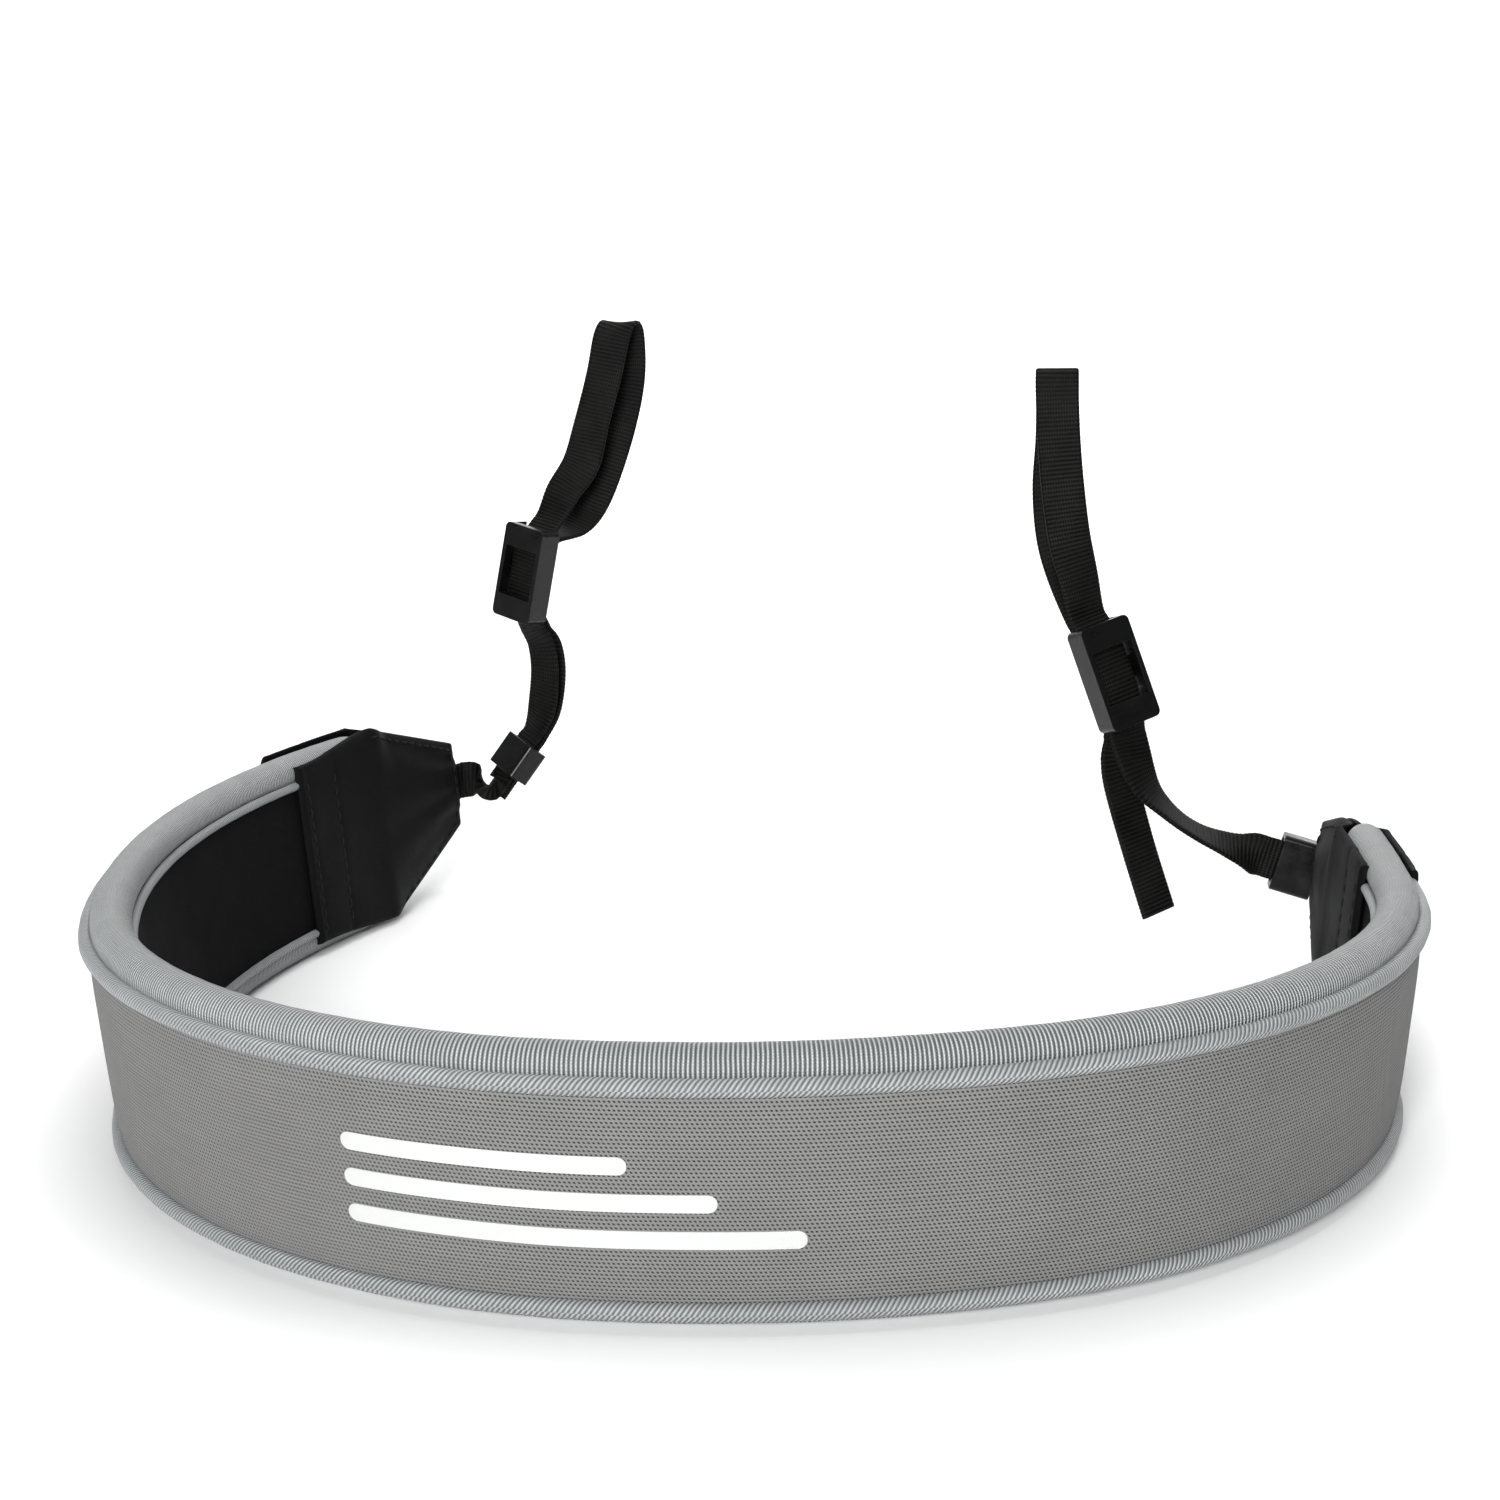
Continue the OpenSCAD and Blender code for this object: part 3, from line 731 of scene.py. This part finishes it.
def border(side, face, inset):
    """(t, z) line just inside a tab's free outline: out along the top and back along the bottom."""
    edge, end = 60, 20
    out = np.linspace(-2, TAB_LEN - inset, edge)
    back = np.linspace(TAB_LEN - inset, -2, edge)
    t = np.concatenate([out, np.full(end, TAB_LEN - inset), back])
    low, high = tab_edges(side, face, t)
    rise = np.concatenate([np.ones(edge), np.linspace(1, 0, end), np.zeros(edge)])
    return t, low + inset + (high - low - 2 * inset) * rise


for word, side in SIDES.items():
    stitches = []
    for label, face in (("outer", 1), ("inner", -1)):
        patch = tab_patch(f"{word}_{label}_patch", side, face)
        put(patch, "band", f"{word}_tab_{label}_patch", slot="patch")
        z = np.linspace(5, BAND_H - 5, 30)
        for back in STITCH_ROWS:
            stitches += stitch_line(side, face, np.full(len(z), -back), z)
        stitches += stitch_line(side, face, *border(side, face, BORDER_INSET))
    put(thread_mesh(f"{word}_stitches", stitches), "band", f"{word}_tab_stitching", slot="thread")


# ---------------------------------------------------------------- webbing

def unit(v):
    v = np.asarray(v, float)
    return v / np.linalg.norm(v)


def blend4(a, b, c, d, t):
    """Catmull-Rom curve from b (t = 0) to c (t = 1)."""
    return 0.5 * (2 * b + (c - a) * t + (2 * a - 5 * b + 4 * c - d) * t ** 2
                  + (3 * b - a - 3 * c + d) * t ** 3)


def smooth(values, steps):
    """The curve through values, with steps points from each to the next."""
    v = np.asarray(values, float)
    last = len(v) - 1
    found = []
    for k in range(last):
        four = v[max(k - 1, 0)], v[k], v[k + 1], v[min(k + 2, last)]
        found += [blend4(*four, j / steps) for j in range(steps)]
    return np.array(found + [v[last]])


def ribbon(name, route):
    """Flat webbing with a rounded edge and raised cross ribs, along stations (point, across)."""
    points = smooth([p for p, w in route], CURVE_STEPS)
    across = smooth([w for p, w in route], CURVE_STEPS)
    run = np.concatenate([[0], np.cumsum(np.linalg.norm(np.diff(points, axis=0), axis=1))])
    s = stations(0, run[-1], WEB_RIB / 4)
    points = np.stack([np.interp(s, run, points[:, k]) for k in range(3)], 1)
    across = np.stack([np.interp(s, run, across[:, k]) for k in range(3)], 1)
    heading = np.gradient(points, s, axis=0)
    heading /= np.linalg.norm(heading, axis=1, keepdims=True)
    across -= heading * np.sum(across * heading, axis=1, keepdims=True)
    across /= np.linalg.norm(across, axis=1, keepdims=True)
    thick = np.cross(heading, across)
    half_w, half_t = WEB_W / 2, WEB_T / 2
    flat = np.array([-1, -0.7, -0.35, 0, 0.35, 0.7, 1]) * (half_w - half_t)
    bulge = half_t * np.sin(np.linspace(0, math.pi, 5)[1:-1])
    turn = half_t * np.cos(np.linspace(0, math.pi, 5)[1:-1])
    x = np.concatenate([flat, flat[-1] + bulge, flat[::-1], flat[0] - bulge])
    y = np.concatenate([np.full(7, half_t), turn, np.full(7, -half_t), -turn])
    rib = 0.5 + 0.5 * np.cos(2 * math.pi * s / WEB_RIB)
    depth = 1 - RIB_DEPTH * (1 - rib)
    edge = 1 - RIB_EDGE * (1 - rib)
    sideways = across[:, None, :] * (x[None, :, None] * edge[:, None, None])
    upwards = thick[:, None, :] * (y[None, :, None] * depth[:, None, None])
    grid = points[:, None, :] + sideways + upwards
    around = np.concatenate([[0], np.cumsum(np.hypot(np.diff(x), np.diff(y)))])
    return tube(name, grid, s, around, WEBBING)


def tab_point(side):
    """Middle of a tab's narrow end, and the way it points."""
    (x, y), out, along = path(side * (BAND_END[side] + TAB_LEN))
    up = TAB_END_Z - LOW_Z
    lean = up * math.sin(LEAN)
    at = np.array([x + lean * out[0], y + lean * out[1], LOW_Z + up * math.cos(LEAN)])
    return at, np.array([side * along[0], side * along[1], 0.0])


class Carrier:
    """A keeper or slider: its place, and the ways the webbing runs and lies across in it."""

    def __init__(self, at, along, across):
        self.at = np.array(at, float)
        self.along = unit(along)
        self.across = np.array(across, float)
        self.back = unit(np.cross(self.along, self.across))

    def __call__(self, out, off):
        return self.at + self.along * out + self.back * off, self.across


LEFT_TAB, LEFT_DIR = tab_point(LEFT)
RIGHT_TAB, RIGHT_DIR = tab_point(RIGHT)
CARRIERS = {
    "left_keeper": Carrier(LEFT_TAB + [17.1, 4.3, 6.4], [5.3, 2.7, 7.7], [6.5, -7.5, -1.8]),
    "left_slider": Carrier(LEFT_TAB + [22.9, -0.5, 57.6], [2, 0, 9.8], [8.6, -4.8, -1.4]),
    "right_keeper": Carrier(RIGHT_TAB + [-5.8, 10.9, -2.6], [-9.6, -0.4, 2.8], [2.8, 0.5, 9.6]),
    "right_slider": Carrier(RIGHT_TAB + [-49.1, 6.8, 43.2], [-3.4, 0.6, 9.4], [7.75, 5.88, 2.28]),
}


def tab_exit(tab, heading):
    """The webbing starts just past the sewn stub, in line with it."""
    return [(tab + heading * (STUB_OUT + out), UPRIGHT) for out in (BODY_GAP, BODY_GAP + 2)]


def free(tab, *places):
    """Stations (place from the tab, across) where the webbing hangs free."""
    return [(tab + np.array(at, float), np.array(across, float)) for at, across in places]


def through(carrier, *places):
    """Stations (distance along, distance off) where the webbing runs through a keeper or slider."""
    return [CARRIERS[carrier](out, off) for out, off in places]


FRONT, REAR = -STRAND_OFF, STRAND_OFF
KEEPER_RUN = (-8.5, -5.8, 0, 5.8, 8.5)

# The routes follow part.scad's. Two stations beside the left tab and six of the left loop's
# are up to 1.2 mm away from it and turned by up to 30 degrees, to sit closer to the photo.
left_route = (
    tab_exit(LEFT_TAB, LEFT_DIR)
    + free(LEFT_TAB, ([5, 5.5, -0.1], [-1, -2, 9]), ([8.6, 3.8, -1.6], [2, -9, 2]))
    + through("left_keeper", *[(out, FRONT) for out in KEEPER_RUN])
    + free(LEFT_TAB, ([23.9, 5.9, 20.5], [8.6, -5, -1.6]), ([25.2, 5, 30], [8.6, -4.8, -1.4]),
           ([24.6, 4.7, 37.2], [8.6, -4.8, -1.4]))
    + through("left_slider", (-15.5, 5.6), (-12.5, 3.4), (-9, 0.6), (-5, FRONT),
              (5, FRONT), (9, 0.6), (12.5, 3.4), (15.5, 5.6))
    + free(LEFT_TAB, ([31.6, 6.6, 78.5], [9.4, -1.6, -1.6]), ([35.8, 9.5, 85.5], [9.6, 0.6, -1.2]),
           ([38.4, 12, 96], [9, -1, 0]), ([41.4, 14.5, 108.2], [3, -0.3, 0]),
           ([43.4, 16, 118.1], [1, 0, 0]), ([45, 18.7, 121.2], [1, 0, 0]),
           ([46, 21.5, 118.6], [1, 0, 0]), ([46.1, 22.3, 108.9], [3, -0.3, 0]),
           ([44.2, 21.5, 97.9], [9, -0.4, 0]), ([40.6, 18.6, 85], [9.6, 0.6, -1.2]),
           ([36.8, 14.6, 74], [9.4, -1.4, -1.6]), ([32.8, 10, 68], [8.8, -4, -1]))
    + through("left_slider", (9.5, 5.2), (7.5, 2.4), (5, REAR), (-5, REAR),
              (-9, 2.4), (-12.5, 5.6), (-15.5, 8.2))
    + free(LEFT_TAB, ([25.9, 7.4, 37.2], [8.6, -4.8, -1.4]), ([26.4, 8, 29.5], [8.6, -4.8, -1.4]),
           ([24.6, 8.6, 19.6], [8.6, -5, -1.6]))
    + through("left_keeper", *[(out, REAR) for out in (8.5, 5.8, 0, -5.8, -8.5, -11)])
)

right_route = (
    tab_exit(RIGHT_TAB, RIGHT_DIR)
    + free(RIGHT_TAB, ([1, 7.1, -0.5], [0, 0, 1]), ([3.6, 9.9, -3.2], [1, 0, 9]))
    + through("right_keeper", *[(out, 0) for out in KEEPER_RUN])
    + free(RIGHT_TAB, ([-18.6, 9.3, 1.2], [1.2, 8.3, 5.4]), ([-23.5, 8, 3.3], [0.8, 9.6, 2.6]),
           ([-28.2, 7, 5.6], [0.8, 9.9, 1.2]), ([-32.4, 6.2, 8.4], [1, 10, 0.8]),
           ([-36.4, 5.4, 12], [2.4, 9.6, 0.6]), ([-40.2, 5.2, 16.2], [4.5, 8.6, 1.2]),
           ([-43, 5.8, 21.6], [6.6, 7.2, 2]))
    + through("right_slider", (-15.5, 2.6), (-12.5, 1.4), (-9, 0), (-5, FRONT),
              (5, FRONT), (9, 0.2), (12.5, 1.4), (15.5, 2.2))
    + free(RIGHT_TAB, ([-57.1, 8.6, 65], [8, 4.6, 2.4]), ([-59.4, 7.2, 75], [9.2, 2, 2]),
           ([-60.9, 6.4, 86], [9.6, 0.6, 1]), ([-62, 6.9, 97.5], [9.9, 0, 1]),
           ([-62.6, 8.1, 108.5], [1, 0, 0]), ([-62.8, 10.8, 113.4], [1, 0, 0]),
           ([-62.9, 13.6, 108.5], [1, 0, 0]), ([-63, 14, 97.5], [1, 0, 0]),
           ([-63.6, 13.6, 86], [9.8, 0, 1]), ([-62.6, 12.6, 75], [9.4, 1, 1.6]),
           ([-60, 12.6, 65], [8.4, 4, 2]))
    + through("right_slider", (15.5, 4.2), (12.5, 3.2), (9, 1.9), (5, REAR), (0, REAR), (-5, REAR))
)

tail_route = (
    through("right_slider", (-5 - BODY_GAP, REAR), (-8, 1.3), (-10.5, 2.7), (-13, 4.4), (-15.5, 6))
    + free(RIGHT_TAB, ([-47.6, 10.9, 22.3], [7.8, 5.9, 2.3]),
           ([-46.7, 10.8, 15.5], [7.4, 6.4, 2.2]), ([-42.6, 9.6, 1.2], [7, 6.9, 2.2]),
           ([-37.5, 8.4, -14.5], [7, 6.9, 2.4]))
)

put(ribbon("left_strap_webbing", left_route), "left_strap", "left_webbing", slot="webbing")
put(ribbon("right_strap_webbing", right_route), "right_strap", "right_webbing", slot="webbing")
put(ribbon("right_tail", tail_route), "right_tail", "right_webbing_tail", slot="webbing")

for word, tab, heading in (("left", LEFT_TAB, LEFT_DIR), ("right", RIGHT_TAB, RIGHT_DIR)):
    # Evenly spaced stations: with uneven ones the curve would run past its ends
    route = [(tab + heading * out, UPRIGHT) for out in np.linspace(-STUB_IN, STUB_OUT, 4)]
    stub = ribbon(word + "_stub", route)
    put(stub, "band", word + "_tab_webbing", slot="webbing")


# ---------------------------------------------------------------- sliders and keepers

def moulded(node, body, round_mm):
    """The CAD piece's shape with its facets merged and every outside edge rounded."""
    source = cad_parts[node]
    data = source.data.copy()
    data.transform(source.matrix_world)
    bm = bmesh.new()
    bm.from_mesh(data)
    bmesh.ops.remove_doubles(bm, verts=bm.verts, dist=1e-6)
    bmesh.ops.dissolve_limit(bm, angle_limit=math.radians(1), verts=bm.verts, edges=bm.edges)
    sharp = [e for e in bm.edges
             if len(e.link_faces) == 2 and e.calc_face_angle(0) > math.radians(30)]
    bmesh.ops.bevel(bm, geom=sharp, offset=round_mm * MM, segments=3, profile=0.6,
                    affect="EDGES", clamp_overlap=True)
    bmesh.ops.recalc_face_normals(bm, faces=bm.faces)
    bm.to_mesh(data)
    bm.free()
    data.polygons.foreach_set("use_smooth", [True] * len(data.polygons))
    data.materials.clear()
    data.materials.append(HARDWARE)
    obj = bpy.data.objects.new(node + "_moulded", data)
    bpy.context.scene.collection.objects.link(obj)
    weighted = obj.modifiers.new("even_shading", "WEIGHTED_NORMAL")
    weighted.keep_sharp = True
    return put(obj, body, node, slot="hardware")


for node in CARRIERS:
    moulded(node, node, 0.4)


# ---------------------------------------------------------------- floor, light and camera

def floor(size):
    """A pale sheet that sweeps up far behind the object."""
    steps, r, back = 24, 0.5, 1.6
    profile = [(-size, 0.0), (back, 0.0)]
    profile += [(back + r * math.sin(a), r - r * math.cos(a))
                for a in np.linspace(0, math.pi / 2, steps)[1:]]
    profile += [(back + r, size)]
    points = [(x, y, z) for y, z in profile for x in (-size, size)]
    faces = [(2 * i, 2 * i + 1, 2 * i + 3, 2 * i + 2) for i in range(len(profile) - 1)]
    data = bpy.data.meshes.new("studio_floor")
    data.from_pydata(points, [], faces)
    data.polygons.foreach_set("use_smooth", [True] * len(data.polygons))
    data.materials.append(floor_material())
    obj = bpy.data.objects.new("studio_floor", data)
    bpy.context.scene.collection.objects.link(obj)
    return obj


def softbox(name, at, towards, size, watts):
    """A rectangular area light at one point, facing another."""
    data = bpy.data.lights.new(name, "AREA")
    data.shape, data.size, data.size_y = "RECTANGLE", size[0], size[1]
    data.energy = watts
    obj = bpy.data.objects.new(name, data)
    obj.location = at
    obj.rotation_euler = (Vector(towards) - Vector(at)).to_track_quat("-Z", "Y").to_euler()
    bpy.context.scene.collection.objects.link(obj)
    return obj


def camera():
    """The camera fitted to the photo."""
    data = bpy.data.cameras.new("photo_camera")
    data.lens, data.sensor_width = 62.4, 36.0
    data.clip_start, data.clip_end = 0.01, 20.0
    obj = bpy.data.objects.new("photo_camera", data)
    aside, down, roll = 10.56, 12.07, -0.918
    turn = (Matrix.Rotation(math.radians(aside), 4, "Z")
            @ Matrix.Rotation(math.radians(90 - down), 4, "X")
            @ Matrix.Rotation(math.radians(roll), 4, "Z"))
    obj.matrix_world = Matrix.Translation((0.1056, -0.3919, 0.1831)) @ turn
    bpy.context.scene.collection.objects.link(obj)
    bpy.context.scene.camera = obj


MIDDLE = (0.0, 0.12, 0.05)
floor(4.0)
softbox("top_light", (0.05, 0.15, 1.1), MIDDLE, (0.8, 0.6), 6.3)
softbox("front_light", (0.0, -1.2, 0.5), MIDDLE, (0.4, 0.35), 26.0)
softbox("back_light", (0.0, 0.9, 1.4), (0.0, 2.1, 0.5), (2.0, 0.6), 45.0)
camera()

world = bpy.data.worlds.new("studio")
world.use_nodes = True
background = world.node_tree.nodes["Background"]
background.inputs["Color"].default_value = (0.95, 0.97, 1.0, 1.0)
background.inputs["Strength"].default_value = 0.14
bpy.context.scene.world = world
bpy.context.scene.view_settings.view_transform = "Standard"
